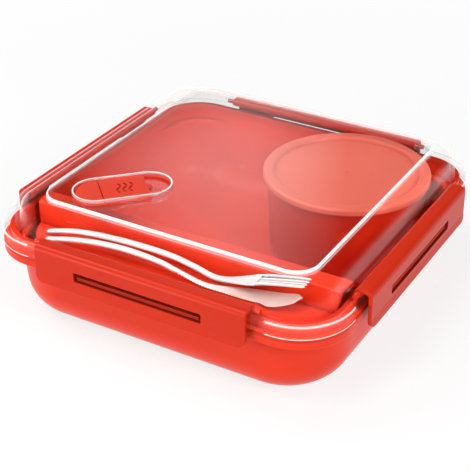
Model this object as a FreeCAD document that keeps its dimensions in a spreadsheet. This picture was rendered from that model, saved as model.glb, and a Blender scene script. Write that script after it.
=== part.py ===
import FreeCAD, Part
import Sketcher
import math
import os
import re

# Square lunch box: red tub, clear lid with four snap clips and a steam vent, pot and cutlery inside.
# Millimetres, +Z up, origin at the middle of the tub's flat bottom, front of the box towards -Y.

SIZES = (
    ("rim_half", 97.6, "half width of the tub over its rim"),
    ("rim_top", 49.8, "height of the rim"),
    ("lip_reach", 0.6, "how far the lid's skirt stands out from the flange"),
    ("lip_corner", 30.0, "plan radius of the skirt's corners"),
    ("lip_round", 2.5, "rounding of the skirt's top edge"),
    ("skirt_lap", 4.8, "reach of the skirt below the rim's top"),
    ("skirt_rise", 3.7, "height of the skirt's flat top above the rim"),
    ("skirt_wall", 1.7, "thickness of each of the skirt's two walls"),
    ("flange_reach", 4.3, "how far the tub's flange stands out from the rim"),
    ("flange_drop", 10.8, "depth of the flange's underside below the rim's top"),
    ("flange_round", 0.8, "rounding of the flange's edges"),
    ("parting_gap", 0.4, "gap between the skirt and the flange"),
    ("rim_wall", 1.6, "thickness of the rim at its top"),
    ("rim_fit", 0.4, "gap between the rim and the skirt's inner wall"),
    ("wall_corner", 37.0, "plan radius of the tub wall's corners"),
    ("draft", 5.0, "draft of the tub's walls in degrees"),
    ("floor_wall", 2.3, "thickness of the tub's floor"),
    ("foot_round", 21.0, "rounding between the tub's wall and its bottom"),
    ("seal_height", 1.8, "height of the pressed seal ring"),
    ("seal_fit", 0.1, "gap on each side of the seal ring"),
    ("rib_gap", 0.4, "gap between the tub's wall and the lid's rib"),
    ("rib_wall", 1.5, "thickness of the rib inside the tub"),
    ("rib_drop", 4.6, "reach of the rib below the seal"),
    ("skin", 1.8, "wall of the lid"),
    ("dome_inset", 2.1, "how far the dome's foot stands in from the rim"),
    ("dome_rise", 13.8, "height of the lid's shelf above the skirt"),
    ("dome_draft", 12.0, "draft of the dome's wall in degrees"),
    ("shoulder_round", 5.0, "rounding of the dome's shoulder"),
    ("shelf_width", 13.5, "width from the dome's foot to the raised middle"),
    ("plateau_shift", 4.0, "how much further in the raised middle's left edge lies than the others"),
    ("plateau_corner", 13.0, "plan radius of the raised middle's corners"),
    ("plateau_rise", 2.7, "height of the raised middle above the shelf"),
    ("plateau_round", 0.9, "rounding of the raised middle's edge"),
    ("clip_half", 62.0, "half length of a clip"),
    ("clip_stand", 4.7, "how far a clip's face stands out from the skirt"),
    ("clip_wall", 2.0, "thickness of a clip"),
    ("clip_round", 3.4, "rounding between a clip's top and its face"),
    ("clip_drop", 13.7, "reach of a clip below the rim's top"),
    ("clip_flare", 0.8, "how far a clip's lower edge leans out"),
    ("flare_height", 5.0, "height of the leaning lower edge"),
    ("clip_corner", 4.5, "rounding of a clip's lower corners"),
    ("clip_bend", 8.0, "bend radius of the leaning lower edge"),
    ("clip_edge", 0.5, "rounding of a clip's outer edges"),
    ("hinge_inset", 2.9, "how far a clip's hinge lies in from the skirt's face"),
    ("hinge_rise", 1.5, "height of a clip's hinge above the skirt"),
    ("barrel_radius", 2.3, "radius of a clip's hinge barrel"),
    ("barrel_gap", 0.4, "room around the barrel in the skirt"),
    ("pin_radius", 1.3, "radius of a clip's hinge pins"),
    ("pin_gap", 0.05, "radial clearance of a hinge pin"),
    ("slot_half", 37.7, "half length of a clip's slot"),
    ("slot_drop", 6.9, "depth of the slot's lower edge below the rim's top"),
    ("slot_height", 5.4, "height of a clip's slot"),
    ("slot_round", 0.9, "rounding of the slot's corners"),
    ("lug_gap", 0.7, "gap between a lug and the slot's lower edge"),
    ("lug_end_gap", 1.7, "gap between a lug and the slot's ends"),
    ("lug_height", 1.7, "height of a lug"),
    ("lug_catch", 0.8, "how far a lug reaches into the slot"),
    ("notch_gap", 0.8, "gap between a lug and the skirt above it"),
    ("knuckle_gap", 0.6, "gap between a clip's end and its knuckle"),
    ("knuckle_length", 4.0, "length of a knuckle along the hinge"),
    ("knuckle_bevel", 1.5, "bevel of a knuckle's upper edges"),
    ("knuckle_proud", 2.0, "how far a knuckle stands out from the skirt's face"),
    ("knuckle_rise", 2.9, "height of a knuckle above the hinge"),
    ("knuckle_drop", 7.0, "depth of a knuckle below the hinge"),
    ("trough_drop", 7.8, "depth of the cutlery trough's floor below the rim's top"),
    ("trough_depth", 12.4, "depth of the trough below the tray's ledge"),
    ("tray_wall", 1.6, "thickness of the tray"),
    ("tray_gap", 0.5, "gap between the tray and the lid's rib"),
    ("trough_width", 30.0, "distance of the trough's back wall from the rim's inside"),
    ("trough_slope", 2.0, "lean of the trough's back wall"),
    ("ledge_width", 12.5, "width of the tray's ledge"),
    ("tray_round", 1.2, "rounding of the tray's upper edges"),
    ("upstand", 5.5, "height of the trough's front upstand"),
    ("upstand_lean", 0.8, "lean of the upstand's inner face"),
    ("pot_side_gap", 8.0, "gap between the pot's mouth and the rim on its right"),
    ("pot_back_gap", 7.5, "gap between the pot's mouth and the rim behind it"),
    ("pot_radius", 45.0, "outer radius of the pot's mouth"),
    ("pot_taper", 2.5, "how much the pot's foot stands in from its mouth"),
    ("pot_proud", 8.6, "height of the pot's mouth above the rim"),
    ("pot_wall", 1.6, "wall of the pot"),
    ("pot_round", 14.0, "rounding of the pot's foot"),
    ("cap_reach", 2.2, "how far the pot's lid stands out from the pot's mouth"),
    ("cap_rise", 1.6, "height of the pot lid's ring above the pot's mouth"),
    ("cap_wall", 1.4, "thickness of the pot's lid"),
    ("cap_ring", 6.8, "width of the pot lid's ring"),
    ("cap_recess", 2.0, "depth of the pot lid's middle"),
    ("cap_skirt", 3.6, "height of the pot lid's skirt"),
    ("cap_plug", 4.4, "height of the pot lid's inner wall"),
    ("cap_fit", 0.4, "gap between the pot and its lid"),
    ("cap_round", 1.6, "rounding of the pot lid's ring"),
    ("vent_side", 35.0, "vent's middle from the raised middle's left edge"),
    ("vent_front", 29.0, "vent's middle from the raised middle's front edge"),
    ("vent_turn", 45.0, "direction of the vent in degrees"),
    ("vent_radius", 11.3, "radius of the vent recess's ends"),
    ("vent_span", 14.0, "half distance between the recess's end centres"),
    ("vent_border", 1.7, "width of the border around the recess"),
    ("vent_rise", 1.4, "height of the border above the raised middle"),
    ("vent_depth", 2.6, "depth of the recess below the raised middle"),
    ("vent_floor", 1.8, "thickness of the recess's floor"),
    ("vent_fit", 0.4, "gap between the vent's pieces and the recess"),
    ("vent_proud", 0.4, "height of the vent's pieces above the raised middle"),
    ("vent_groove", 0.6, "width of the groove at the flap's hinge"),
    ("groove_at", -11.8, "place of the flap's hinge along the vent"),
    ("flap_end", 13.8, "place of the flap's free end along the vent"),
    ("flap_lift", 0.2, "gap under the flap"),
    ("flap_round", 2.2, "rounding of the flap's free end"),
    ("nub_radius", 2.0, "radius of the flap's finger nub"),
    ("hole_radius", 4.0, "radius of the steam hole"),
    ("plug_radius", 3.0, "radius of the flap's plug"),
    ("plug_length", 1.6, "length of the flap's plug"),
    ("stud_at", -18.0, "place of the anchor's stud along the vent"),
    ("stud_radius", 2.5, "radius of the anchor's stud"),
    ("stud_fit", 0.1, "clearance of the stud"),
    ("stud_head", 3.4, "radius of the stud's head"),
    ("head_height", 1.0, "height of the stud's head"),
    ("thumb_radius", 10.0, "radius of the finger lip beside the flap"),
    ("thumb_at", 14.5, "place of the finger lip along the vent"),
    ("thumb_aside", -9.5, "place of the finger lip across the vent"),
    ("thumb_rise", 0.8, "height of the finger lip"),
    ("wave_length", 9.6, "length of an engraved wave"),
    ("wave_pitch", 3.3, "distance between engraved waves"),
    ("wave_width", 1.1, "width of an engraved wave"),
    ("wave_depth", 0.6, "depth of an engraved wave"),
    ("wave_bend", 50.0, "half angle of a wave's arcs in degrees"),
    ("wave_at", 1.2, "place of the middle wave along the vent"),
    ("cutlery_thick", 2.0, "thickness of the cutlery"),
    ("fork_inset", 7.2, "fork's line in front of the trough's back wall"),
    ("fork_turn", 0.9, "turn of the fork towards the back in degrees"),
    ("fork_start", -80.0, "fork's handle end along X"),
    ("fork_neck", 26.0, "fork's neck along X"),
    ("fork_end", 77.0, "fork's tips along X"),
    ("fork_arch", 8.4, "rise of the fork's handle"),
    ("fork_tip_rise", 15.5, "rise of the fork's tips"),
    ("fork_head", 11.4, "width of the fork's head"),
    ("tine_length", 28.0, "length of the fork's tines"),
    ("tine_gap", 1.5, "gap between the fork's tines"),
    ("handle_width", 4.0, "width of a handle at its middle"),
    ("handle_end", 3.2, "width of a handle at its end"),
    ("knife_inset", 14.2, "knife's line in front of the trough's back wall"),
    ("knife_turn", 1.5, "turn of the knife towards the back in degrees"),
    ("knife_start", -76.0, "knife's handle end along X"),
    ("knife_heel", 7.0, "heel of the blade along X"),
    ("knife_end", 74.0, "blade's tip along X"),
    ("knife_arch", 8.0, "rise of the knife's handle"),
    ("knife_tip_rise", 6.0, "rise of the blade's tip"),
    ("blade_width", 11.0, "width of the blade"),
    ("blade_edge", 1.2, "blade's cutting edge in front of the knife's line"),
    ("blade_belly", 2.6, "how far the blade's belly stands in front of its cutting edge"),
    ("blade_start", 22.0, "where the blade's back starts to widen along X"),
    ("blade_full", 48.0, "where the blade has its full width along X"),
    ("serration", 1.7, "pitch of the blade's teeth"),
    ("tooth_depth", 0.6, "depth of the blade's teeth"),
)

doc = FreeCAD.newDocument("LunchBox")
dims = doc.addObject("Spreadsheet::Sheet", "dims")
for row, (alias, size, note) in enumerate(SIZES, 1):
    dims.set(f"A{row}", alias)
    dims.set(f"B{row}", str(size))
    dims.set(f"C{row}", note)
    dims.setAlias(f"B{row}", alias)
doc.recompute()

# Sizes that follow from the ones on the sheet.
DERIVED = {
    "flange_half": "rim_half + flange_reach",
    "lip_half": "flange_half + lip_reach",
    "dome_half": "rim_half - dome_inset",
    "plateau_half": "dome_half - shelf_width",
    "skirt_low": "rim_top - skirt_lap",
    "skirt_top": "rim_top + skirt_rise",
    "flange_low": "rim_top - flange_drop",
    "dome_top": "skirt_top + dome_rise",
    "hinge_out": "lip_half - hinge_inset",
    "hinge_height": "skirt_top + hinge_rise",
    "clip_face": "lip_half + clip_stand",
    "clip_low": "rim_top - clip_drop",
    "slot_low": "rim_top - slot_drop",
    "slot_high": "slot_low + slot_height",
    "tray_floor": "rim_top - trough_drop",
    "tray_top": "tray_floor + trough_depth",
    "trough_back": "trough_width - rim_half + rim_wall",
    "pot_x": "rim_half - rim_wall - pot_side_gap - pot_radius",
    "pot_y": "rim_half - rim_wall - pot_back_gap - pot_radius",
    "pot_foot": "pot_radius - pot_taper",
    "pot_top": "rim_top + pot_proud",
    "cap_radius": "pot_radius + cap_reach",
    "cap_top": "pot_top + cap_rise",
    "vent_x": "vent_side + plateau_shift - plateau_half",
    "vent_y": "vent_front - plateau_half",
    "fork_y": "trough_back - fork_inset",
    "knife_y": "trough_back - knife_inset",
}

# Sizes that several pieces share, written on the driving ones.
CHANNEL_HALF = "(rim_half + rim_fit)"
CHANNEL_TOP = "(rim_top + seal_height)"
CAVITY_HALF = "(rim_half - rim_wall)"
RIB_OUT = "(rim_half - rim_wall - rib_gap - rib_drop * tan(draft))"
RIB_IN = f"({RIB_OUT} - rib_wall)"
FLANGE_TOP = "(skirt_low - parting_gap)"
PLATEAU_TOP = "(dome_top + plateau_rise)"
VENT_FLOOR = f"({PLATEAU_TOP} - vent_depth)"
VENT_TOP = f"({PLATEAU_TOP} + vent_proud)"
CLIP_INNER = "(clip_face - clip_wall)"
LUG_LOW = "(slot_low + lug_gap)"
LUG_TOP = f"({LUG_LOW} + lug_height)"
WALL_CORNER_IN = "(wall_corner - rim_wall)"
NEAR = 1e-4
OVERCUT = 1.0
SLIVER = 1e-4


def sized(text):
    """Expression on the sheet, from one written with bare names of cells and of sizes that follow from them."""
    def cell(word):
        name = word.group(0)
        return f"({sized(DERIVED[name])})" if name in DERIVED else "dims." + name
    return re.sub(r"\b[a-z]\w*\b(?!\()", cell, text)


def number(text):
    """What an expression on the sheet comes to."""
    return float(dims.evalExpression(sized(text)))


def corner(half):
    """Corner radius of an outline that runs along the skirt's at another half width."""
    return f"(lip_corner - lip_half + {half})"


def bind(feature, **sizes):
    """Tie properties of a feature to expressions on the sheet."""
    for name, text in sizes.items():
        feature.setExpression(name, sized(text))
    return feature


def plane(body, role):
    return next(item for item in body.Origin.OriginFeatures if item.Role == role)


def new_body(label):
    body = doc.addObject("PartDesign::Body", label)
    body.Label = label
    return body


def sketch_on(body, name, role="XY_Plane", height="0", at_x="0", at_y="0", turn="0"):
    """Sketch on one of the body's own planes, shifted along its normal and turned in it."""
    sketch = body.newObject("Sketcher::SketchObject", name)
    sketch.AttachmentSupport = [(plane(body, role), "")]
    sketch.MapMode = "FlatFace"
    sketch.AttachmentOffset = FreeCAD.Placement(
        FreeCAD.Vector(number(at_x), number(at_y), number(height)),
        FreeCAD.Rotation(FreeCAD.Vector(0, 0, 1), number(turn)))
    sketch.setExpression("AttachmentOffset.Base.x", sized(at_x))
    sketch.setExpression("AttachmentOffset.Base.y", sized(at_y))
    sketch.setExpression("AttachmentOffset.Base.z", sized(height))
    if turn != "0":
        sketch.setExpression("AttachmentOffset.Rotation.Angle", sized(turn))
    return sketch


def add_constraint(sketch, text, kind, *where):
    """Add one driving constraint and tie it to the sheet."""
    index = sketch.addConstraint(Sketcher.Constraint(kind, *where, number(text)))
    sketch.setExpression(f"Constraints[{index}]", sized(text))


def outline(sketch, points):
    """Closed outline through (x, y) points; a third entry (centre x, centre y, radius, turn) is an arc."""
    spots = [FreeCAD.Vector(number(point[0]), number(point[1]), 0) for point in points]
    ends = []
    for index, point in enumerate(points):
        start, end = spots[index], spots[(index + 1) % len(spots)]
        if len(point) == 2:
            ends.append((sketch.addGeometry(Part.LineSegment(start, end)), 1, 2))
            continue
        middle = FreeCAD.Vector(number(point[2][0]), number(point[2][1]), 0)
        first, last = (start, end) if point[2][3] > 0 else (end, start)
        angles = [math.atan2(spot.y - middle.y, spot.x - middle.x) for spot in (first, last)]
        circle = Part.Circle(middle, FreeCAD.Vector(0, 0, 1), number(point[2][2]))
        arc = sketch.addGeometry(Part.ArcOfCircle(circle, *angles))
        ends.append((arc, 1, 2) if point[2][3] > 0 else (arc, 2, 1))
    for index, point in enumerate(points):
        curve, first, last = ends[index]
        before = ends[index - 1]
        sketch.addConstraint(Sketcher.Constraint("Coincident", before[0], before[2], curve, first))
        add_constraint(sketch, point[0], "DistanceX", -1, 1, curve, first)
        add_constraint(sketch, point[1], "DistanceY", -1, 1, curve, first)
        if len(point) == 3:
            add_constraint(sketch, point[2][2], "Radius", curve)


def circle(sketch, at_x, at_y, radius):
    spot = FreeCAD.Vector(number(at_x), number(at_y), 0)
    curve = sketch.addGeometry(Part.Circle(spot, FreeCAD.Vector(0, 0, 1), number(radius)))
    add_constraint(sketch, radius, "Radius", curve)
    add_constraint(sketch, at_x, "DistanceX", -1, 1, curve, 3)
    add_constraint(sketch, at_y, "DistanceY", -1, 1, curve, 3)


def rounded_box(sketch, low_x, low_y, high_x, high_y, radius):
    """Rectangle with round corners between two opposite corners."""
    left, right = f"({low_x} + {radius})", f"({high_x} - {radius})"
    below, above = f"({low_y} + {radius})", f"({high_y} - {radius})"
    outline(sketch, (
        (left, low_y),
        (right, low_y, (right, below, radius, 1)),
        (high_x, below),
        (high_x, above, (right, above, radius, 1)),
        (right, high_y),
        (left, high_y, (left, above, radius, 1)),
        (low_x, above),
        (low_x, below, (left, below, radius, 1)),
    ))


def rounded_square(sketch, half, radius=None):
    """Square with round corners about the sketch's origin."""
    rounded_box(sketch, f"(0 - {half})", f"(0 - {half})", half, half, radius or corner(half))


def stadium(sketch, radius):
    """Outline of the vent: two round ends joined by straight sides."""
    rounded_box(sketch, f"(0 - vent_span - {radius})", f"(0 - {radius})",
                f"(vent_span + {radius})", radius, f"({radius} - {SLIVER})")


def pad(body, sketch, length, down=False, taper=None, both=False):
    feature = body.newObject("PartDesign::Pad", sketch.Name + "_pad")
    feature.Profile = sketch
    feature.Reversed = down
    if both:
        feature.SideType = "Symmetric"
    bind(feature, Length=length)
    if taper:
        bind(feature, TaperAngle=f"0 - {taper}")
    return feature


def pocket(body, sketch, depth, up=False, taper=None, both=False):
    feature = body.newObject("PartDesign::Pocket", sketch.Name + "_pocket")
    feature.Profile = sketch
    feature.Reversed = up
    if both:
        feature.SideType = "Symmetric"
    bind(feature, Length=depth)
    if taper:
        bind(feature, TaperAngle=f"0 - {taper}")
    return feature


def revolve(body, sketch):
    feature = body.newObject("PartDesign::Revolution", sketch.Name + "_turn")
    feature.Profile = sketch
    feature.ReferenceAxis = (plane(body, "Z_Axis"), [""])
    feature.Angle = 360
    return feature


def four_sides(body, features, name):
    """Repeat features on all four sides of the box."""
    pattern = body.newObject("PartDesign::PolarPattern", name)
    pattern.Originals = features
    pattern.Axis = (plane(body, "Z_Axis"), [""])
    pattern.Angle = 360
    pattern.Occurrences = 4
    body.Tip = pattern
    return pattern


def round_edges(body, feature, name, radius, wanted):
    """Fillet the edges of a feature that a test picks."""
    doc.recompute()
    picked = [f"Edge{i}" for i, edge in enumerate(feature.Shape.Edges, 1) if wanted(edge.BoundBox)]
    fillet = body.newObject("PartDesign::Fillet", name)
    fillet.Base = (feature, picked)
    bind(fillet, Radius=radius)
    return fillet


def level(height):
    """Test for edges that lie flat at one height."""
    spot = number(height)
    return lambda box: abs(box.ZMin - spot) < NEAR and abs(box.ZMax - spot) < NEAR


def level_out(height, half):
    """Test for edges at one height that reach a given half width."""
    flat, reach = level(height), number(half)
    return lambda box: flat(box) and abs(max(box.XMax, box.YMax, -box.XMin, -box.YMin) - reach) < NEAR


def tub_blank(body, name, half, radius, top, low, rounding):
    """Drafted square block with round corners and a rounded foot."""
    block = sketch_on(body, name, height=top)
    rounded_square(block, half, radius)
    feature = pad(body, block, f"{top} - {low}", down=True, taper="draft")
    return round_edges(body, feature, name + "_foot", rounding, level(low))


def make_tub():
    """Drafted tub with flange, rim and one catch lug on each side, hollowed by a smaller block."""
    body = new_body("tub_outside")
    tub_blank(body, "tub_wall", "rim_half", "wall_corner", "flange_low", "0", "foot_round")
    flange = sketch_on(body, "flange", height="flange_low")
    rounded_square(flange, "flange_half")
    flange_pad = pad(body, flange, f"{FLANGE_TOP} - flange_low")
    edges = [level_out("flange_low", "flange_half"), level_out(FLANGE_TOP, "flange_half")]
    round_edges(body, flange_pad, "flange_edge", "flange_round", lambda box: any(test(box) for test in edges))
    rim = sketch_on(body, "rim", height=FLANGE_TOP)
    rounded_square(rim, "rim_half")
    pad(body, rim, f"rim_top - {FLANGE_TOP}")
    lug = sketch_on(body, "lug", role="YZ_Plane")
    lug_out = f"(0 - {CLIP_INNER} - lug_catch)"
    lug_root = "(0 - flange_half + flange_round * 2)"
    outline(lug, ((lug_out, LUG_LOW), (lug_root, LUG_LOW), (lug_root, FLANGE_TOP),
                  ("(0 - flange_half - parting_gap)", LUG_TOP), (lug_out, LUG_TOP)))
    four_sides(body, [pad(body, lug, "2 * (slot_half - lug_end_gap)", both=True)], "lugs")
    cavity = new_body("tub_cavity")
    step = "(flange_low + floor_wall)"
    lower_half = f"({CAVITY_HALF} - (rim_top - {step}) * tan(draft))"
    tub_blank(cavity, "cavity", lower_half, WALL_CORNER_IN, step, "floor_wall", "foot_round - floor_wall")
    mouth = sketch_on(cavity, "mouth", height="rim_top")
    rounded_square(mouth, CAVITY_HALF)
    pad(cavity, mouth, f"rim_top - {step}", down=True, taper="draft")
    tub = doc.addObject("Part::Cut", "tub")
    tub.Label = "tub"
    tub.Base = body
    tub.Tool = cavity
    return tub


def make_tray():
    """Cutlery trough and ledge, bent from one sheet, trimmed to the room inside the tub."""
    room = new_body("tray_room")
    room_top = f"(tray_top + {OVERCUT})"
    room_half = f"({RIB_IN} - tray_gap - ({room_top} - {CHANNEL_TOP}) * tan(dome_draft))"
    tub_blank(room, "room_wall", room_half, WALL_CORNER_IN, room_top, "floor_wall", "foot_round - floor_wall")
    sheet = new_body("tray_sheet")
    section = sketch_on(sheet, "tray_section", role="YZ_Plane")
    front = "(0 - lip_half)"
    upstand_top = "(tray_floor + upstand)"
    lip = f"(({room_top} - {upstand_top}) * tan(draft) - {room_half} + tray_wall)"
    ledge_start = "(trough_back + trough_slope)"
    ledge_end = f"({ledge_start} + ledge_width)"
    lower_floor = "(tray_floor - tray_wall)"
    lower_ledge = "(tray_top - tray_wall)"
    outline(section, (
        (front, lower_floor),
        ("trough_back + tray_wall", lower_floor),
        (f"{ledge_start} + tray_wall", lower_ledge),
        (f"{ledge_end} - tray_wall", lower_ledge),
        (f"{ledge_end} - tray_wall", "floor_wall"),
        (ledge_end, "floor_wall"),
        (ledge_end, "tray_top"),
        (ledge_start, "tray_top"),
        ("trough_back", "tray_floor"),
        (f"{lip} + upstand_lean", "tray_floor"),
        (lip, upstand_top),
        (front, upstand_top),
    ))
    bent = pad(sheet, section, "2 * lip_half", both=True)
    round_edges(sheet, bent, "ledge_edges", "tray_round", level("tray_top"))
    tray = doc.addObject("Part::Common", "cutlery_tray")
    tray.Label = "cutlery_tray"
    tray.Base = sheet
    tray.Tool = room
    return tray


def make_pot():
    body = new_body("sauce_pot")
    section = sketch_on(body, "pot_section", role="XZ_Plane")
    inner_top = "(pot_radius - pot_wall)"
    inner_foot = "(pot_foot - pot_wall)"
    inner_low = "(floor_wall + pot_wall)"
    outline(section, (("0", "floor_wall"), ("pot_foot", "floor_wall"), ("pot_radius", "pot_top"),
                      (inner_top, "pot_top"), (inner_foot, inner_low), ("0", inner_low)))
    turned = revolve(body, section)
    foot = round_edges(body, turned, "pot_foot_out", "pot_round", level("floor_wall"))
    round_edges(body, foot, "pot_foot_in", "pot_round - pot_wall", level(inner_low))
    body.setExpression("Placement.Base.x", sized("pot_x"))
    body.setExpression("Placement.Base.y", sized("pot_y"))
    return body


def make_pot_lid():
    body = new_body("pot_lid")
    section = sketch_on(body, "cap_section", role="XZ_Plane")
    skirt_in = "(pot_radius + cap_fit)"
    plug_out = "(pot_radius - pot_wall - cap_fit)"
    ring_in = "(cap_radius - cap_ring)"
    middle = "(cap_top - cap_recess)"
    under = "(pot_top + cap_fit / 2)"
    outline(section, (
        ("0", f"{middle} - cap_wall"),
        (f"{plug_out} - cap_wall", f"{middle} - cap_wall"),
        (f"{plug_out} - cap_wall", "cap_top - cap_plug"),
        (f"{plug_out}", "cap_top - cap_plug"),
        (f"{plug_out}", under),
        (skirt_in, under),
        (skirt_in, "cap_top - cap_skirt"),
        ("cap_radius", "cap_top - cap_skirt"),
        ("cap_radius", "cap_top"),
        (f"{ring_in} + cap_recess / 2", "cap_top"),
        (ring_in, middle),
        ("0", middle),
    ))
    turned = revolve(body, section)
    round_edges(body, turned, "cap_edge", "cap_round", level("cap_top"))
    body.setExpression("Placement.Base.x", sized("pot_x"))
    body.setExpression("Placement.Base.y", sized("pot_y"))
    return body


def vent_sketch(body, name, height):
    """Sketch in the vent's own directions on the lid's raised middle."""
    return sketch_on(body, name, height=height, at_x="vent_x", at_y="vent_y", turn="vent_turn")


def raised_middle(sketch, inset):
    """Outline of the lid's raised middle, set in by a wall."""
    half = f"(plateau_half - {inset})"
    rounded_box(sketch, f"(plateau_shift - {half})", f"(0 - {half})", half, half, f"(plateau_corner - {inset})")


def make_lid_shell(body):
    """Skirt, dome and raised middle, hollowed from below."""
    skirt = sketch_on(body, "skirt", height="skirt_low")
    rounded_square(skirt, "lip_half")
    block = pad(body, skirt, "skirt_top - skirt_low")
    round_edges(body, block, "skirt_edge", "lip_round", level("skirt_top"))
    dome = sketch_on(body, "dome", height="skirt_top")
    rounded_square(dome, "dome_half")
    raised = pad(body, dome, "dome_top - skirt_top", taper="dome_draft")
    round_edges(body, raised, "shoulder", "shoulder_round", level("dome_top"))
    plateau = sketch_on(body, "plateau", height="dome_top")
    raised_middle(plateau, "0")
    top = pad(body, plateau, "plateau_rise")
    round_edges(body, top, "plateau_edge", "plateau_round", level(PLATEAU_TOP))
    channel = sketch_on(body, "channel", height="skirt_low")
    rounded_square(channel, CHANNEL_HALF)
    pocket(body, channel, f"{CHANNEL_TOP} - skirt_low", up=True)
    groove = sketch_on(body, "skirt_groove", height="skirt_low")
    rounded_square(groove, "(lip_half - skirt_wall)")
    rounded_square(groove, f"({CHANNEL_HALF} + skirt_wall)")
    pocket(body, groove, "skirt_top - lip_round - skirt_low", up=True)
    room = sketch_on(body, "dome_room", height=CHANNEL_TOP)
    rounded_square(room, RIB_IN)
    hollow = pocket(body, room, f"dome_top - skin - {CHANNEL_TOP}", up=True, taper="dome_draft")
    round_edges(body, hollow, "shoulder_inside", "shoulder_round - skin", level("dome_top - skin"))
    under = sketch_on(body, "plateau_room", height="dome_top - skin")
    raised_middle(under, "skin")
    pocket(body, under, "plateau_rise", up=True)
    rib = sketch_on(body, "rib", height=CHANNEL_TOP)
    rounded_square(rib, RIB_OUT)
    rounded_square(rib, RIB_IN)
    pad(body, rib, "rib_drop", down=True)


def make_hinge_seats(body):
    """Notch, barrel room, knuckles and pin bores for the clip on one side, repeated on all four."""
    notch = sketch_on(body, "notch", role="YZ_Plane")
    back = f"(0 - {CHANNEL_HALF} - skirt_wall)"
    inside = f"(0 - {CHANNEL_HALF} + skirt_wall)"
    front = f"(0 - lip_half - {OVERCUT})"
    above = f"(skirt_top + {OVERCUT})"
    below = f"(skirt_low - {OVERCUT})"
    outline(notch, ((back, above), (back, f"{LUG_TOP} + notch_gap"), (inside, f"{LUG_TOP} + notch_gap"),
                    (inside, below), (front, below), (front, above)))
    room = "2 * (clip_half + knuckle_gap)"
    notch_cut = pocket(body, notch, room, both=True)
    barrel = sketch_on(body, "barrel_room", role="YZ_Plane")
    circle(barrel, "0 - hinge_out", "hinge_height", "barrel_radius + barrel_gap")
    barrel_cut = pocket(body, barrel, room, both=True)
    four_sides(body, [notch_cut, barrel_cut], "clip_notches")
    post_out = "(0 - lip_half - knuckle_proud)"
    post_in = "(0 - dome_half + skin / 2)"
    post_top = "(hinge_height + knuckle_rise)"
    lap = "(skirt_top - skin / 2)"
    root = "(0 - lip_half + skirt_wall / 2)"
    foot = "(hinge_height - knuckle_drop)"
    bevel = "knuckle_bevel"
    posts = []
    for name, start in (("knuckle_right", "clip_half + knuckle_gap"),
                        ("knuckle_left", "0 - clip_half - knuckle_gap - knuckle_length")):
        post = sketch_on(body, name, role="YZ_Plane", height=start)
        outline(post, ((post_in, lap), (post_in, f"{post_top} - {bevel}"), (f"{post_in} - {bevel}", post_top),
                       (f"{post_out} + {bevel}", post_top), (post_out, f"{post_top} - {bevel}"),
                       (post_out, foot), (root, foot), (root, lap)))
        posts.append(pad(body, post, "knuckle_length"))
    bore = sketch_on(body, "pin_bore", role="YZ_Plane")
    circle(bore, "0 - hinge_out", "hinge_height", "pin_radius + pin_gap")
    reach = f"2 * (clip_half + knuckle_gap + knuckle_length + {OVERCUT})"
    posts.append(pocket(body, bore, reach, both=True))
    four_sides(body, posts, "knuckles")


def make_vent_seat(body):
    """Border, recess, steam hole, stud hole and finger lip of the vent on the raised middle."""
    border = vent_sketch(body, "vent_seat", f"{VENT_FLOOR} - vent_floor")
    stadium(border, "(vent_radius + vent_border)")
    pad(body, border, "vent_floor + vent_depth + vent_rise")
    thumb = vent_sketch(body, "finger_lip", PLATEAU_TOP)
    circle(thumb, "thumb_at", "thumb_aside", "thumb_radius")
    pad(body, thumb, "thumb_rise")
    recess = vent_sketch(body, "vent_recess", VENT_FLOOR)
    stadium(recess, "vent_radius")
    pocket(body, recess, f"vent_depth + vent_rise + {OVERCUT}", up=True)
    holes = vent_sketch(body, "vent_holes", VENT_FLOOR)
    circle(holes, "0", "0", "hole_radius")
    circle(holes, "stud_at", "0", "stud_radius + stud_fit")
    pocket(body, holes, f"vent_floor + {OVERCUT}")


def make_lid():
    body = new_body("lid")
    make_lid_shell(body)
    make_hinge_seats(body)
    make_vent_seat(body)
    return body


def make_seal():
    body = new_body("seal_ring")
    ring = sketch_on(body, "seal", height="rim_top")
    rounded_square(ring, f"({CHANNEL_HALF} - seal_fit)")
    rounded_square(ring, f"({RIB_OUT} + seal_fit)")
    pad(body, ring, "seal_height")
    return body


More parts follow.
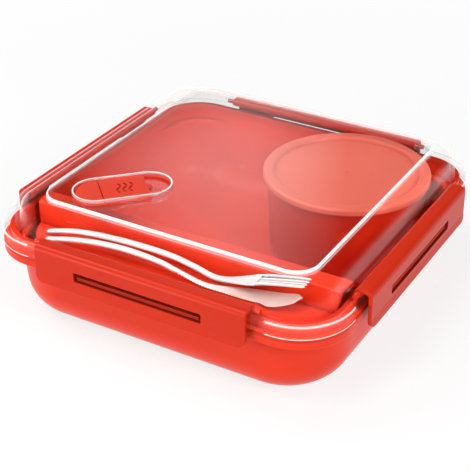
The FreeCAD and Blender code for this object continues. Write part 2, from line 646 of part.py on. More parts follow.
def make_clip(label, turns):
    """Snap clip: hinge barrel, curved shell over the skirt and slotted front, turned to its side."""
    body = new_body(label)
    shell = sketch_on(body, label + "_shell", role="YZ_Plane")
    outer, inner = "(0 - clip_face)", f"(0 - {CLIP_INNER})"
    middle = "(0 - hinge_out)"
    crown = "(hinge_height + barrel_radius)"
    bend = "(clip_low + flare_height)"
    turn_at, turn_low = f"({outer} + clip_round)", f"({crown} - clip_round)"
    outline(shell, (
        (middle, crown),
        (turn_at, crown, (turn_at, turn_low, "clip_round", 1)),
        (outer, turn_low),
        (outer, bend),
        (f"{outer} - clip_flare", "clip_low"),
        (f"{inner} - clip_flare", "clip_low"),
        (inner, bend),
        (inner, turn_low, (turn_at, turn_low, "(clip_round - clip_wall)", -1)),
        (turn_at, f"{crown} - clip_wall"),
        (middle, f"{crown} - clip_wall"),
    ))
    plate = pad(body, shell, "2 * clip_half", both=True)
    smooth = round_edges(body, plate, label + "_bend", "clip_bend", level(bend))
    lower = level("clip_low")
    corners = round_edges(body, smooth, label + "_corner", "clip_corner", lambda box: (
        box.XLength < NEAR and lower(box)))
    front = -number("clip_face + clip_flare")
    round_edges(body, corners, label + "_edge", "clip_edge", lambda box: (
        box.YLength < NEAR and abs(box.YMin - front) < NEAR))
    barrel = sketch_on(body, label + "_barrel", role="YZ_Plane")
    circle(barrel, middle, "hinge_height", "barrel_radius")
    pad(body, barrel, "2 * clip_half", both=True)
    pin = sketch_on(body, label + "_pin", role="YZ_Plane")
    circle(pin, middle, "hinge_height", "pin_radius")
    pad(body, pin, "2 * (clip_half + knuckle_gap + knuckle_length - pin_gap * 4)", both=True)
    slot = sketch_on(body, label + "_slot", role="XZ_Plane", height=f"clip_face + {OVERCUT}")
    rounded_box(slot, "(0 - slot_half)", "slot_low", "slot_half", "slot_high", "slot_round")
    pocket(body, slot, f"clip_wall + 2 * {OVERCUT}")
    body.Placement = FreeCAD.Placement(
        FreeCAD.Vector(0, 0, 0), FreeCAD.Rotation(FreeCAD.Vector(0, 0, 1), turns * 90))
    return body


def make_vent_anchor():
    """Fixed end of the vent strip, held by a headed stud through the lid."""
    body = new_body("vent_anchor")
    strip = vent_sketch(body, "anchor_strip", VENT_FLOOR)
    reach = "(vent_radius - vent_fit)"
    low = f"(0 - {reach})"
    end = "(groove_at - vent_groove / 2)"
    middle = "(0 - vent_span)"
    tip = f"({middle} - {reach})"
    outline(strip, ((end, low), (end, reach), (middle, reach, (middle, "0", reach, 1)),
                    (tip, "0", (middle, "0", reach, 1)), (middle, low)))
    pad(body, strip, f"{VENT_TOP} - {VENT_FLOOR}")
    stud = vent_sketch(body, "stud", VENT_FLOOR)
    circle(stud, "stud_at", "0", "stud_radius")
    pad(body, stud, "vent_floor", down=True)
    head = vent_sketch(body, "stud_head", f"{VENT_FLOOR} - vent_floor")
    circle(head, "stud_at", "0", "stud_head")
    pad(body, head, "head_height", down=True)
    return body


def wave_outline(sketch, at_x):
    """One S-shaped wave of even width across the flap, made of arcs."""
    bend = "(wave_length / 4 / sin(wave_bend))"
    lean = f"({bend} * cos(wave_bend))"
    near, far = f"({bend} - wave_width / 2)", f"({bend} + wave_width / 2)"
    high, low = f"({at_x} - {lean})", f"({at_x} + {lean})"
    up, down = "(wave_length / 4)", "(0 - wave_length / 4)"
    outline(sketch, (
        (f"{high} + {far} * cos(wave_bend)", f"{up} - {far} * sin(wave_bend)", (high, up, far, 1)),
        (f"{high} + {far} * cos(wave_bend)", f"{up} + {far} * sin(wave_bend)"),
        (f"{high} + {near} * cos(wave_bend)", f"{up} + {near} * sin(wave_bend)", (high, up, near, -1)),
        (f"{high} + {near} * cos(wave_bend)", f"{up} - {near} * sin(wave_bend)", (low, down, far, 1)),
        (f"{low} - {far} * cos(wave_bend)", f"{down} - {far} * sin(wave_bend)"),
        (f"{low} - {near} * cos(wave_bend)", f"{down} - {near} * sin(wave_bend)", (low, down, near, -1)),
    ))


def make_vent_flap():
    """Hinged half of the vent strip with its plug, finger nub and engraved steam waves."""
    body = new_body("vent_flap")
    under = f"({VENT_FLOOR} + flap_lift)"
    strip = vent_sketch(body, "flap_strip", under)
    reach = "(vent_radius - vent_fit)"
    start = "(groove_at + vent_groove / 2)"
    outline(strip, ((start, f"(0 - {reach})"), ("flap_end", f"(0 - {reach})"), ("flap_end", reach),
                    (start, reach)))
    plate = pad(body, strip, f"{VENT_TOP} - {under}")
    doc.recompute()
    turn = math.radians(number("vent_turn"))
    origin = FreeCAD.Vector(number("vent_x"), number("vent_y"), 0)
    along = FreeCAD.Vector(math.cos(turn), math.sin(turn), 0)
    top, free_end = number(VENT_TOP), number("flap_end")
    round_edges(body, plate, "flap_free_end", "flap_round", lambda box: (
        abs(box.ZMin - top) < NEAR and abs((box.Center - origin).dot(along) - free_end) < NEAR))
    plug = vent_sketch(body, "flap_plug", under)
    circle(plug, "0", "0", "plug_radius")
    pad(body, plug, "plug_length", down=True)
    nub = vent_sketch(body, "finger_nub", under)
    circle(nub, "flap_end", "0", "nub_radius")
    pad(body, nub, f"{VENT_TOP} - {under} - flap_round / 2")
    waves = vent_sketch(body, "steam_waves", VENT_TOP)
    for step in (-1, 0, 1):
        wave_outline(waves, f"(wave_at + {step} * wave_pitch)")
    pocket(body, waves, "wave_depth")
    return body


def bent_strip(stations, base):
    """Sheet of cutlery thickness that follows a smooth side line, as wide as the box."""
    thick = number("cutlery_thick")
    half = number("lip_half")
    points = [FreeCAD.Vector(spot, -half, base + rise) for spot, rise in stations]
    curve = Part.BSplineCurve()
    curve.interpolate(points)
    lower = curve.toShape()
    upper = lower.translated(FreeCAD.Vector(0, 0, thick))
    sides = [Part.makeLine(spot, spot + FreeCAD.Vector(0, 0, thick)) for spot in (points[0], points[-1])]
    face = Part.Face(Part.Wire([lower, sides[1], upper, sides[0]]))
    return face.extrude(FreeCAD.Vector(0, 2 * half, 0))


def plan_block(points, low, high):
    """Upright block over a plan outline; a point list entry that is a list is one smooth curve."""
    edges = []
    for first, second in zip(points, points[1:] + points[:1]):
        start = first[-1] if isinstance(first, list) else first
        if isinstance(first, list):
            curve = Part.BSplineCurve()
            curve.interpolate([FreeCAD.Vector(x, y, low) for x, y in first])
            edges.append(curve.toShape())
        end = second[0] if isinstance(second, list) else second
        if start != end:
            edges.append(Part.makeLine(FreeCAD.Vector(*start, low), FreeCAD.Vector(*end, low)))
    return Part.Face(Part.Wire(edges)).extrude(FreeCAD.Vector(0, 0, high - low))


def add_shape(label, shape):
    piece = doc.addObject("Part::Feature", label)
    piece.Label = label
    piece.Shape = shape
    return piece


def make_fork():
    """Fork with an arched handle, lying on the trough's floor with its tips raised."""
    start, neck, tip = number("fork_start"), number("fork_neck"), number("fork_end")
    arch, rise = number("fork_arch"), number("fork_tip_rise")
    base, high = number("tray_floor"), number("dome_top")
    span, reach = neck - start, tip - neck
    low = arch * 0.32
    climb = rise - low
    strip = bent_strip((
        (start, 0.0), (start + span * 0.17, arch * 0.6), (start + span * 0.34, arch * 0.88),
        (start + span * 0.55, arch), (start + span * 0.75, arch * 0.93), (start + span * 0.87, arch * 0.66),
        (neck, low), (neck + reach * 0.32, low + climb * 0.27), (neck + reach * 0.6, low + climb * 0.62),
        (tip, rise)), base)
    line, end, wide = number("fork_y"), number("handle_end") / 2, number("handle_width") / 2
    head, slot = number("fork_head") / 2, number("tine_gap")
    root = tip - number("tine_length")
    side = [(start, end), (start + span * 0.5, wide), (neck, wide * 0.8), (root - wide * 2, head * 0.8),
            (root, head)]
    taper = head * 0.86
    plan = plan_block([[(x, line + y) for x, y in side], (tip, line + taper), (tip, line - taper),
                       [(x, line - y) for x, y in reversed(side)]], base, high)
    gaps = []
    for step in (-1, 0, 1):
        centre = line + step * number("fork_head") / 4
        gap = Part.makeBox(number("tine_length") + OVERCUT, slot, high - base,
                           FreeCAD.Vector(root, centre - slot / 2, base))
        round_end = Part.makeCylinder(slot / 2, high - base, FreeCAD.Vector(root, centre, base))
        gaps += [gap, round_end]
    fork = add_shape("fork", plan.cut(gaps).common(strip))
    turn = FreeCAD.Rotation(FreeCAD.Vector(0, 0, 1), number("fork_turn"))
    fork.Placement = FreeCAD.Placement(FreeCAD.Vector(0, 0, 0), turn, FreeCAD.Vector(start, line, 0))
    return fork


def make_knife():
    """Knife with an arched handle and a serrated blade, lying in front of the fork."""
    start, heel, tip = number("knife_start"), number("knife_heel"), number("knife_end")
    arch, rise = number("knife_arch"), number("knife_tip_rise")
    base, high = number("tray_floor"), number("dome_top")
    span, reach = heel - start, tip - heel
    strip = bent_strip((
        (start, 0.0), (start + span * 0.23, arch * 0.58), (start + span * 0.46, arch * 0.92),
        (start + span * 0.68, arch), (start + span * 0.88, arch * 0.84), (heel, arch * 0.52),
        (heel + reach * 0.2, arch * 0.12), (heel + reach * 0.38, arch * 0.06),
        (heel + reach * 0.6, arch * 0.07), (heel + reach * 0.8, rise * 0.35), (tip, rise)), base)
    line, end, wide = number("knife_y"), number("handle_end") / 2, number("handle_width") / 2
    width = number("blade_width")
    edge = line - number("blade_edge")
    belly_line = edge - number("blade_belly")
    back = edge + width
    pitch, depth = number("serration"), number("tooth_depth")
    count = int((tip - width * 1.8 - heel) / pitch)
    last = heel + count * pitch
    teeth = []
    for step in range(count):
        spot = heel + step * pitch
        teeth += [(spot, edge), (spot + pitch / 2, edge - depth)]
    belly = [(last, edge), (last + (tip - last) * 0.35, belly_line), (tip - width * 0.22, edge + width * 0.2),
             (tip, back - width * 0.35)]
    nose = [(tip, back - width * 0.35), (tip - width * 0.1, back - width * 0.1), (tip - width * 0.35, back)]
    upper = [(heel, line + wide), (start + span * 0.5, line + wide), (start, line + end)]
    lower = [(start, line - end), (start + span * 0.5, line - wide), (heel - pitch, line - wide)]
    plan = plan_block([lower] + teeth + [belly, nose, (number("blade_full"), back),
                                         (number("blade_start"), line + wide), upper], base, high)
    knife = add_shape("knife", plan.common(strip))
    turn = FreeCAD.Rotation(FreeCAD.Vector(0, 0, 1), number("knife_turn"))
    knife.Placement = FreeCAD.Placement(FreeCAD.Vector(0, 0, 0), turn, FreeCAD.Vector(start, line, 0))
    return knife


parts = [make_tub(), make_tray(), make_pot(), make_pot_lid(), make_fork(), make_knife(),
         make_lid(), make_seal(), make_vent_anchor(), make_vent_flap()]
parts += [make_clip(label, turns) for turns, label in
          enumerate(("clip_front", "clip_right", "clip_back", "clip_left"))]
doc.recompute()

for item in doc.Objects:
    if {"Invalid", "Error"} & set(item.State):
        raise RuntimeError(f"{item.Label} failed: {item.State}")
for part in parts:
    if part.Shape.isNull() or not part.Shape.isValid():
        raise RuntimeError(f"{part.Label} has no valid shape")

os.makedirs("parts", exist_ok=True)
for part in parts:
    part.Shape.exportStep(f"parts/{part.Label}.step")
    print(part.Label, len(part.Shape.Solids), round(part.Shape.Volume, 1), part.Shape.BoundBox)
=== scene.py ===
"""Square lunch box: moulded red tub and clips, clear domed lid, soft steam vent, pot and white cutlery."""

import math

import bmesh
import bpy
from bpy.props import FloatProperty, FloatVectorProperty, PointerProperty
from bpy.types import Operator, Panel, PropertyGroup
from mathutils import Matrix, Vector


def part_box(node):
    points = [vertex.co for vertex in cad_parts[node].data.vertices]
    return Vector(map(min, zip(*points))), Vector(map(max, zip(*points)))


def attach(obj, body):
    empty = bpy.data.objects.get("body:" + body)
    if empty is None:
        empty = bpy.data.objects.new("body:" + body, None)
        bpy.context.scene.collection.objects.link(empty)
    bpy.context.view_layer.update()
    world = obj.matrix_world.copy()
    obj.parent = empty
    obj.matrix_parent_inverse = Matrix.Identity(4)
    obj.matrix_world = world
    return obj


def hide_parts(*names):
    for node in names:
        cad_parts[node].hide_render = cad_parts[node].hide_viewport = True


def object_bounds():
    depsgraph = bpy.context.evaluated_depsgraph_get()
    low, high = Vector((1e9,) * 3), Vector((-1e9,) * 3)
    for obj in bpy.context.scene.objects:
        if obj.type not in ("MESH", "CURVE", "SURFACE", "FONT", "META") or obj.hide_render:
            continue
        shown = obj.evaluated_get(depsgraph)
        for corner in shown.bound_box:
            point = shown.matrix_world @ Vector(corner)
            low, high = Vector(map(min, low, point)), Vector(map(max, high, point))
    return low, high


bl_info = {
    "name": "Lunch Box",
    "version": (1, 0, 0),
    "blender": (4, 5, 0),
    "location": "View3D > Sidebar > Lunch Box",
    "description": "Finishes the lunch box and sets up its studio",
    "category": "Object",
}

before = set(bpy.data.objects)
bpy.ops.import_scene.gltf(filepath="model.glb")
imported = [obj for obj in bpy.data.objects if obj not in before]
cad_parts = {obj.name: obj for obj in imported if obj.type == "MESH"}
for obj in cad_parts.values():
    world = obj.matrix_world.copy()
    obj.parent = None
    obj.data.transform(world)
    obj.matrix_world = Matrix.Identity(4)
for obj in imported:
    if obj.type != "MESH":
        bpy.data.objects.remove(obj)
CAD_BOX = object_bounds()

# Lengths are in metres
MM = 0.001

# Heights and outlines of the lid that its finish follows
LID_TOP = 70 * MM
SHELF_TOP = 67.3 * MM
SKIRT_TOP = 53.5 * MM
SKIRT_LOW = 45 * MM
SKIRT_HALF = 102.5 * MM
SKIRT_CORNER = 30 * MM
SKIRT_FACE = 0.8 * MM
CORNER_FROM = 70 * MM
MIDDLE_HALF = 82 * MM
MIDDLE_SHIFT = 4 * MM
MIDDLE_CORNER = 13 * MM
VENT_X = -43 * MM
VENT_Y = -53 * MM
VENT_SPAN = 14 * MM
VENT_RADIUS = 11.3 * MM
EDGE_CLEAR = 1 * MM

# Painted highlight lines along the lid's moulded edges: middle, half width and strength
CREST_LINE = (-0.4 * MM, 0.6 * MM, 1.8)
FOOT_LINE = (0.2 * MM, 0.4 * MM, 0.5)
VENT_LINE = (1.25 * MM, 0.6 * MM, 1.3)
HEM_LINE = (SKIRT_LOW + 0.55 * MM, 0.5 * MM, 0.8)
SHOULDER_LINE = (SKIRT_TOP - 1.2 * MM, 0.9 * MM, 0.7)

# Zones of the lid outside its raised middle; a pair is the start and the length of a ramp
SHELF_START = (0.0, 0.6 * MM)
SHELF_END = (16 * MM, -3 * MM)
SHELF_DEPTH = 8 * MM
SIDE_START = (8 * MM, 3 * MM)
# The rim zone takes a painted white reflection where the wall slants away
RIM_START = (9 * MM, 3 * MM)
RIM_END = 15 * MM
RIM_FADE = (SKIRT_TOP + 2 * MM, 5 * MM)

# Gloss of the lid's coat, and grey, gloss and painted glow of its painted highlight lines
SHELF_GLOSS_LOSS = 0.94
SIDE_GLOSS_LOSS = 0.65
COAT_ROUGHNESS = 0.03
COAT_INDEX = 1.5
SMEAR_DEPTH = 0.01 * MM
SMEAR_LEAST = 0.6
SMEAR_SPAN = 0.8
LINE_GREY = 0.9
LINE_ROUGHNESS = 0.2
LINE_SMEAR = 0.1
LINE_EMISSION = 0.3

# Painted shade of the red plastic: deeper beside the tub's lugs, and a painted shadow on the tub's flange
# along the parting line
LUG_FROM = 102.6 * MM
LUG_TOP = 50 * MM
PARTING_SHADOW_DEPTH = 2.2 * MM
PARTING_SHADOW_REACH = 1.4 * MM
PAINTED_SHADE_SAMPLES = 6

# Refraction and grain of the plastics, and how far their colour and gloss drift
RED_INDEX = 1.25
PLASTIC_INDEX = 1.4
RUBBER_INDEX = 1.42
GRAIN_DETAIL = 3.0
GRAIN_DEPTH = 0.004 * MM
RUBBER_GRAIN_DEPTH = 0.006 * MM
NOISE_MEAN = 0.5
PLASTIC_DRIFT = 0.10
FORK_DRIFT = 0.04
BLADE_DRIFT = 0.10
RUBBER_DRIFT = 0.12
CLOUD_GLOSS = 0.10
GRAIN_GLOSS = 0.05
BLADE_GLOSS = 0.06
RUBBER_GLOSS = 0.12
# Where the knife's painted red light starts along the blade, and over what length it comes in
BLADE_START = 22 * MM
BLADE_FADE = 18 * MM

# Edges of the clips
CLIP_WELD = 0.01 * MM
CLIP_EDGE_ANGLE = math.radians(40)
CLIP_EDGE_STEPS = 2

# Studio wall: start and length of each ramp over the angle left of straight behind, height or depth
PATCH_LEFT = (0.70, -0.20)
PATCH_RIGHT = (0.40, 0.14)
PATCH_FOOT = (1.25, 0.15)
PATCH_HEAD = (1.45, 0.20)
WALL_GLOW = (0.8, -0.3)
WALL_BEHIND = (-1.0, 2.0)
FLOOR_GLOW = (0.3, -0.1)

# Studio paper, how white the floor is near the box and away from it, the cove and the camera's sensor
PATCH_FOOT_SHARE = 0.4
PATCH_HEAD_LOSS = 0.4
PAPER_DARK = 0.10
PAPER_PALE = 0.93
FIBRE_SIZE = 4 * MM
FIBRE_DEPTH = 0.05 * MM
FLOOR_NEAR = 0.2
FLOOR_WHITE = 0.8
FLOOR_WHITENING = 0.5
COVE_BEND_STEPS = 12
COVE_ROUND_STEPS = 96
SENSOR_WIDTH = 36.0

# Soft boxes: place, width and the setting that holds the power
LAMPS = {
    "key_lamp": ((-0.2, -0.7, 1.35), 0.6, "key_light"),
    "front_lamp": ((-0.7, -1.2, 0.3), 0.6, "front_light"),
    "side_lamp": ((1.15, -0.45, 0.85), 0.6, "side_light"),
    "left_lamp": ((-0.9, -0.1, 1.2), 0.5, "left_light"),
}

# Gate marks: radius and height of each profile point, in millimetres
LID_MARK = ((0.7, -0.1), (0.8, 0.12), (1.2, 0.18), (1.6, 0.12), (1.7, -0.1))
POT_LID_MARK = ((0.05, 0.45), (0.6, 0.4), (1.0, 0.2), (1.1, -0.1))
POT_LID_PANEL_DROP = 2.0 * MM

# Cutlery, with its turns in degrees and the number of steps along each stretch
TRAY_FLOOR = 42 * MM
FORK_TURN = 0.9
KNIFE_TURN = 1.5
END_STEPS = 6
FORK_STEPS = 90
TINE_STEPS = 40
KNIFE_STEPS = 70
BELLY_STEPS = 14
TIP_STEPS = 10
HANDLE_END_HALF = 1.7 * MM
HANDLE_HALF = 2.0 * MM
HANDLE_DEPTH = 2.2 * MM
HANDLE_ROUND = 2 * MM
HANDLE_EVEN_FROM = 3 * MM
HANDLE_LEAST_HALF = 0.05 * MM
HANDLE_LEAST_SHARE = 0.1
TINES = (-1.5, -0.5, 0.5, 1.5)
TINE_PITCH = 2.85 * MM
TINE_CLOSING = 0.35 * MM
TINE_HALF = 0.72 * MM
TINE_TAPER = 0.22 * MM
TINE_ROUND = 4 * MM
TINE_THINNING = 3 * MM
TINE_LEAST_SHARE = 0.15
SECTION_LEAST_HALF = 0.02 * MM
SECTION_WIDTH_POWER = 0.7
SECTION_DEPTH_POWER = 0.8
KEEN_SHARE = 0.9


def colour_property(name, default, description):
    """Linear colour that a user can change."""
    return FloatVectorProperty(name=name, default=default, description=description, subtype="COLOR",
                               size=3, min=0.0, max=1.0)


def place_property(name, default, description):
    """Point in metres that a user can change."""
    return FloatVectorProperty(name=name, default=default, description=description, subtype="TRANSLATION",
                               unit="LENGTH")


def length_property(name, default, description):
    """Length in metres that a user can change."""
    return FloatProperty(name=name, default=default, description=description, subtype="DISTANCE",
                         unit="LENGTH")


def share_property(name, default, description):
    """Plain number from 0 to 1 that a user can change."""
    return FloatProperty(name=name, default=default, description=description, subtype="FACTOR",
                         min=0.0, max=1.0)


def power_property(name, default, description):
    """Power of a lamp in watts that a user can change."""
    return FloatProperty(name=name, default=default, description=description, subtype="POWER",
                         unit="POWER", min=0.0)


class LunchBoxColours(PropertyGroup):
    """Colours of the lunch box's plastics."""

    tub_red: colour_property("Tub red", (0.80, 0.040, 0.012), "Red of the tub and the tray")
    # The clips' red is darker than the tub's: painted shade for the dimmer light on the clips
    clip_red: colour_property("Clip red", (0.60, 0.026, 0.0065), "Red of the snap clips")
    # The pot lid's red is lifted towards pink: painted reflection of the white haze that the clear dome lays
    # over it
    pot_lid_red: colour_property("Pot lid red", (0.82, 0.150, 0.100), "Red of the pot's lid")
    pot_red: colour_property("Pot red", (0.62, 0.026, 0.007), "Red of the pot")
    vent_red: colour_property("Vent red", (0.80, 0.050, 0.020), "Red of the soft vent and the seal")
    cutlery_white: colour_property("Cutlery white", (0.80, 0.82, 0.82), "White of the fork and the knife")
    # Blade tone: the knife's white with painted red light from the tub
    blade_red_light: colour_property("Blade white", (0.72, 0.50, 0.45), "Tone of the knife's thin blade")
    lid_tint: colour_property("Lid tint", (0.975, 0.985, 0.98), "Tint of the clear lid")


class LunchBoxFinish(PropertyGroup):
    """Finish of the lunch box's surfaces."""

    grain_size: length_property("Grain size", 0.9 * MM, "Size of the moulded surface's grain")
    cloud_size: length_property("Cloud size", 45 * MM, "Size of the slow drift in colour")
    edge_round: length_property("Edge rounding", 0.45 * MM, "Rounding of the clips' moulded edges")
    # Painted shade: how far it reaches into slots and corners, and how dark it gets
    painted_shade_reach: length_property("Recess depth", 6 * MM, "Reach within which slots and corners look darker")
    painted_shade_tone: share_property("Recess tone", 0.28, "How dark the plastic gets deep in a recess")
    red_roughness: share_property("Red roughness", 0.30, "Roughness of the tub, the clips and the pot")
    pot_lid_roughness: share_property("Pot lid roughness", 0.36, "Roughness of the pot's satin lid")
    fork_roughness: share_property("Fork roughness", 0.24, "Roughness of the white fork")
    knife_roughness: share_property("Knife roughness", 0.26, "Roughness of the white knife")
    rubber_roughness: share_property("Rubber roughness", 0.46, "Roughness of the vent and the seal")
    lid_roughness: share_property("Lid roughness", 0.02, "Roughness of the clear lid")
    dome_light: share_property("Dome light", 0.48, "Share of the lamps' light that the dome lets through")
    # Strength of the painted white reflection on the lid's rim and of the painted highlights along its edges
    painted_rim_reflection: share_property("Rim glow", 1.0, "How white the clear lid's rim looks at a slant")
    painted_edge_highlight: share_property("Edge glow", 0.85, "How white the clear lid's moulded edges look")


class LunchBoxStage(PropertyGroup):
    """Camera and light of the studio."""

    camera_place: place_property("Camera", (0.3007, -0.5324, 0.3896), "Place of the camera")
    camera_target: place_property("Target", (0.02204, -0.04655, 0.057), "Point in the middle of the view")
    lens: FloatProperty(name="Lens", default=96.39, unit="CAMERA", description="Focal length of the camera")
    cove_radius: length_property("Cove radius", 2.6, "Distance of the white wall behind the box")
    cove_height: length_property("Cove height", 2.2, "Height of the white wall")
    sky_light: FloatProperty(name="Sky light", default=0.2, min=0.0,
                             description="Level of the white light from all round")
    key_light: power_property("Key light", 9.5, "Power of the high soft box in front")
    front_light: power_property("Front light", 7.5, "Power of the low soft box in front")
    side_light: power_property("Side light", 12.0, "Power of the soft box at the right")
    left_light: power_property("Left light", 6.0, "Power of the high soft box at the left")


class Value:
    """Shader socket that Python's operators work on; every operator adds one node."""

    def __init__(self, shader, socket):
        self.shader = shader
        self.socket = socket

    def math(self, operation, first, second=0.0):
        return self.shader.node("ShaderNodeMath", {"operation": operation}, {0: first, 1: second})

    def __add__(self, other):
        return self.math("ADD", self, other)

    def __sub__(self, other):
        return self.math("SUBTRACT", self, other)

    def __rsub__(self, other):
        return self.math("SUBTRACT", other, self)

    def __mul__(self, other):
        return self.math("MULTIPLY", self, other)

    def __truediv__(self, other):
        return self.math("DIVIDE", self, other)

    def __rtruediv__(self, other):
        return self.math("DIVIDE", other, self)

    def __gt__(self, other):
        return self.math("GREATER_THAN", self, other)

    def __lt__(self, other):
        return self.math("LESS_THAN", self, other)

    __radd__ = __add__
    __rmul__ = __mul__

    def size(self):
        return self.math("ABSOLUTE", self)

    def root(self):
        return self.math("SQRT", self)

    def at_least(self, other):
        return self.math("MAXIMUM", self, other)

    def at_most(self, other):
        return self.math("MINIMUM", self, other)

    def angle(self, other):
        return self.math("ARCTAN2", self, other)

    def clamped(self):
        return self.shader.node("ShaderNodeClamp", None, {0: self})

    def ramp(self, start, length):
        """Rise from 0 at the start to 1; with a negative length, fall from 1 to 0 at the start."""
        return ((self - start) / length).clamped()

    def line(self, middle, half, strength):
        """Soft line around a middle value, of a half width and a strength."""
        return strength * (1.0 - (self - middle).size() / half).clamped()


class Shader:
    """Nodes of one material, or of the world."""

    def __init__(self, owner):
        owner.use_nodes = True
        self.owner = owner
        self.tree = owner.node_tree
        self.tree.nodes.clear()

    def node(self, kind, settings=None, inputs=None, output=0):
        """Add one node, set it up, feed its sockets and give the wanted output, if it has outputs."""
        made = self.tree.nodes.new(kind)
        for name, setting in (settings or {}).items():
            setattr(made, name, setting)
        for name, value in (inputs or {}).items():
            if isinstance(value, Value):
                self.tree.links.new(value.socket, made.inputs[name])
            else:
                made.inputs[name].default_value = value
        return Value(self, made.outputs[output]) if len(made.outputs) else None

    def place(self):
        """Point of the surface in the box's own frame."""
        return self.node("ShaderNodeTexCoord", output="Object")

    def spot(self):
        """Coordinates of the surface's point in the box's own frame."""
        parts = self.node("ShaderNodeSeparateXYZ", None, {0: self.place()})
        return [Value(self, output) for output in parts.socket.node.outputs]

    def noise(self, place, size, detail=2.0):
        """Noise whose blobs have about the given size in metres."""
        inputs = {"Vector": place, "Scale": 1.0 / size, "Detail": detail}
        return self.node("ShaderNodeTexNoise", None, inputs)

    def tone(self, share, low, high):
        """Colour between two others."""
        ends = {0: share, 6: (*low, 1.0), 7: (*high, 1.0)}
        return self.node("ShaderNodeMix", {"data_type": "RGBA"}, ends, 2)

    def bump(self, height, depth):
        """Normal over a fine relief of the given depth in metres."""
        return self.node("ShaderNodeBump", None, {"Height": height, "Distance": depth, "Strength": 1.0})

    def openness(self, reach, alone=True):
        """Share of the sky that a point sees within a reach, past its own piece or past all pieces."""
        settings = {"samples": PAINTED_SHADE_SAMPLES, "only_local": alone}
        return self.node("ShaderNodeAmbientOcclusion", settings, {"Distance": reach}, "AO")

    def mix(self, share, first, second):
        """One surface shading into another."""
        return self.node("ShaderNodeMixShader", None, {0: share, 1: first, 2: second})

    def ray(self, *kinds):
        """Sum of Light Path outputs, of which one at most is 1."""
        total = self.node("ShaderNodeLightPath", output=kinds[0])
        for kind in kinds[1:]:
            total = total + self.node("ShaderNodeLightPath", output=kind)
        return total

    def finish(self, surface, kind="ShaderNodeOutputMaterial"):
        """Link the surface to the output and give back the material or the world."""
        self.node(kind, None, {"Surface": surface})
        return self.owner


def new_shader(name):
    """Empty node tree of a new material."""
    return Shader(bpy.data.materials.new(name))


def darker(colour, share):
    """Colour with each channel at a share of its level."""
    return tuple(channel * share for channel in colour)


def rounded_distance(x, y, half_x, half_y, corner):
    """How far a point lies outside a rounded rectangle, seen from above."""
    over_x = (x.size() - (half_x - corner)).at_least(0.0)
    over_y = (y.size() - (half_y - corner)).at_least(0.0)
    return (over_x * over_x + over_y * over_y).root() - corner


def raised_middle_distance(x, y):
    """How far a point lies outside the lid's raised middle, seen from above."""
    inset = MIDDLE_SHIFT / 2
    return rounded_distance(x - inset, y, MIDDLE_HALF - inset, MIDDLE_HALF, MIDDLE_CORNER)


def skirt_distance(x, y):
    """How far a point lies outside the skirt's outer face, seen from above."""
    return rounded_distance(x, y, SKIRT_HALF, SKIRT_HALF, SKIRT_CORNER)


def vent_distance(x, y):
    """How far a point lies outside the vent's slanting recess, seen from above."""
    slant = math.sqrt(0.5)
    along = (slant * (x - VENT_X) + slant * (y - VENT_Y)).size() - VENT_SPAN
    across = slant * (y - VENT_Y) - slant * (x - VENT_X)
    past = along.at_least(0.0)
    return (past * past + across * across).root() - VENT_RADIUS


def moulded_plastic(name, colour, roughness, finish, index=PLASTIC_INDEX, drift=PLASTIC_DRIFT, parting_shadow=False):
    """Injection-moulded plastic: slow drift in colour, fine grain, uneven gloss, painted shade in recesses
    and, if asked, a painted shadow along the parting line.
    """
    shader = new_shader(name)
    place = shader.place()
    cloud = shader.noise(place, finish.cloud_size)
    grain = shader.noise(place, finish.grain_size, GRAIN_DETAIL)
    x, y, z = shader.spot()
    # Painted shade: the colour darkens where a point sees little sky; beside the lugs, other pieces count
    # too
    beside_lug = (x.size().at_least(y.size()) > LUG_FROM) * (z < LUG_TOP)
    own = shader.openness(finish.painted_shade_reach / 2)
    all_round = shader.openness(finish.painted_shade_reach, alone=False)
    open_sky = own + beside_lug * (all_round * all_round - own)
    # Painted shadow on the tub's flange just below the lid's skirt, darkest at the parting line
    if parting_shadow:
        shade = z.ramp(SKIRT_LOW - PARTING_SHADOW_DEPTH, PARTING_SHADOW_DEPTH) * (z < SKIRT_LOW)
        open_sky = open_sky * (1.0 - shade * (skirt_distance(x, y) > -PARTING_SHADOW_REACH))
    share = open_sky * (1 - drift + drift * cloud)
    surface = shader.node("ShaderNodeBsdfPrincipled", None, {
        "Base Color": shader.tone(share, darker(colour, finish.painted_shade_tone), colour),
        "Roughness": roughness + CLOUD_GLOSS * (cloud - NOISE_MEAN) + GRAIN_GLOSS * (grain - NOISE_MEAN),
        "IOR": index,
        "Normal": shader.bump(grain, GRAIN_DEPTH),
    })
    return shader.finish(surface)


def thin_plastic(name, handle, blade, finish):
    """White plastic of the knife; its thin blade has a pink tone painted in, standing in for the red light
    that it takes up from the tub around it.
    """
    shader = new_shader(name)
    grain = shader.noise(shader.place(), finish.grain_size, GRAIN_DETAIL)
    along = shader.spot()[0]
    share = along.ramp(BLADE_START, BLADE_FADE) * (1 - BLADE_DRIFT + BLADE_DRIFT * grain)
    surface = shader.node("ShaderNodeBsdfPrincipled", None, {
        "Base Color": shader.tone(share, handle, blade),
        "Roughness": finish.knife_roughness + BLADE_GLOSS * (grain - NOISE_MEAN),
        "IOR": PLASTIC_INDEX,
        "Normal": shader.bump(grain, GRAIN_DEPTH),
    })
    return shader.finish(surface)


